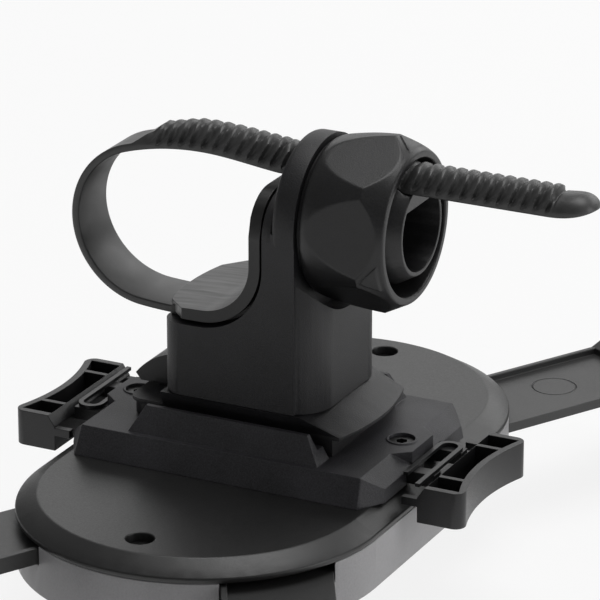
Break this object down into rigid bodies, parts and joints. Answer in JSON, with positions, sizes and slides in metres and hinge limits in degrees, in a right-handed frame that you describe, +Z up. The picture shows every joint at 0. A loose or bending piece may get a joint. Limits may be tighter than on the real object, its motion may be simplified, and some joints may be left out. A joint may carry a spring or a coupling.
{
  "type": "strap-on device holder",
  "caption": "Cradle with spring arms, joined by a quick-release dock to a post whose ribbed strap, tightened by a six-sided knob, grips a round rod.",
  "frame": {"origin": "centre of the plane that the four jaws stand on", "axes": "+X along the dock and the knob's axis, +Y along the gripped rod, +Z up through the post"},
  "size_m": [0.1084, 0.1632, 0.0796],
  "materials": {
    "charcoal": "fine spark texture",
    "satin_black": "satin",
    "shell_grey": "satin",
    "shell_silver": "satin silver",
    "arm_grey": "satin",
    "strap_black": "smooth, semi-gloss",
    "rubber_black": "semi-gloss",
    "steel": "machined",
    "black_steel": "blackened",
    "scroll_plastic": "natural acetal"
  },
  "bodies": {
    "cradle": {"tray": "shell_silver", "cover": "shell_grey", "cover_screw_front": "black_steel", "cover_screw_rear": "black_steel", "device_pad_front": "rubber_black", "device_pad_rear": "rubber_black", "scroll_spring": "steel", "dock": "charcoal", "dock_screw_left": "black_steel", "dock_screw_right": "black_steel", "release_spring_left": "satin_black", "release_spring_right": "satin_black", "shoe": "charcoal", "post_bolt": "steel", "post_washer": "steel", "post_nut": "steel", "saddle_housing": "charcoal", "post_housing": "charcoal", "housing_screw_front": "black_steel", "housing_screw_rear": "black_steel", "liner": "rubber_black", "lever_pin": "steel", "knob_core": "satin_black", "retaining_ring": "steel", "strap_band": "strap_black", "strap_anchor_pin": "steel"},
    "scroll": {"scroll_plate": "scroll_plastic"},
    "button_right": {"button_right": "satin_black"},
    "button_left": {"button_left": "satin_black"},
    "lever": {"index_lever": "satin_black"},
    "knob": {"knob": "satin_black"},
    "strap": {"strap_tail": "strap_black"},
    "arm_rear_right": {"arm_rear_right": "arm_grey", "follower_pin_rear_right": "steel", "arm_grip_rear_right": "rubber_black"},
    "arm_rear_left": {"arm_rear_left": "arm_grey", "follower_pin_rear_left": "steel", "arm_grip_rear_left": "rubber_black"},
    "arm_front_left": {"arm_front_left": "arm_grey", "follower_pin_front_left": "steel", "arm_grip_front_left": "rubber_black"},
    "arm_front_right": {"arm_front_right": "arm_grey", "follower_pin_front_right": "steel", "arm_grip_front_right": "rubber_black"}
  },
  "joints": [
    {"name": "scroll_turn", "type": "hinge", "parent": "cradle", "child": "scroll", "pos_m": [0, 0, 0], "axis": [0, 0, 1], "range_deg": [-57.3, 57.3], "stiffness_Nm_per_rad": 0.02, "deforming": ["scroll_spring"]},
    {"name": "arm_slide_rear_right", "type": "slide", "parent": "cradle", "child": "arm_rear_right", "axis": [0.4772, 0.8788, 0], "range_m": [-0.0061, 0.0061]},
    {"name": "arm_slide_rear_left", "type": "slide", "parent": "cradle", "child": "arm_rear_left", "axis": [-0.4772, 0.8788, 0], "range_m": [-0.0061, 0.0061]},
    {"name": "arm_slide_front_left", "type": "slide", "parent": "cradle", "child": "arm_front_left", "axis": [-0.4772, -0.8788, 0], "range_m": [-0.0061, 0.0061]},
    {"name": "arm_slide_front_right", "type": "slide", "parent": "cradle", "child": "arm_front_right", "axis": [0.4772, -0.8788, 0], "range_m": [-0.0061, 0.0061]},
    {"name": "button_press_right", "type": "slide", "parent": "cradle", "child": "button_right", "axis": [-1, 0, 0], "range_m": [0, 0.0015], "stiffness_N_per_m": 400, "deforming": ["release_spring_right"]},
    {"name": "button_press_left", "type": "slide", "parent": "cradle", "child": "button_left", "axis": [1, 0, 0], "range_m": [0, 0.0015], "stiffness_N_per_m": 400, "deforming": ["release_spring_left"]},
    {"name": "lever_lift", "type": "hinge", "parent": "cradle", "child": "lever", "pos_m": [-0.0108, 0, 0.0362], "axis": [0, 1, 0], "range_deg": [0, 15], "stiffness_Nm_per_rad": 0.02},
    {"name": "knob_turn", "type": "hinge", "parent": "cradle", "child": "knob", "pos_m": [0.0113, 0, 0.0649], "axis": [1, 0, 0], "range_deg": [-87, 87]},
    {"name": "strap_slide", "type": "slide", "parent": "cradle", "child": "strap", "axis": [1, 0, 0], "range_m": [-0.0061, 0.0061], "deforming": ["strap_band"]}
  ],
  "couplings": [
    {"joint": "arm_slide_rear_right", "follows": "scroll_turn", "m_per_rad": 0.006},
    {"joint": "arm_slide_rear_left", "follows": "scroll_turn", "m_per_rad": 0.006},
    {"joint": "arm_slide_front_left", "follows": "scroll_turn", "m_per_rad": 0.006},
    {"joint": "arm_slide_front_right", "follows": "scroll_turn", "m_per_rad": 0.006},
    {"joint": "strap_slide", "follows": "knob_turn", "m_per_rad": 0.003939}
  ]
}
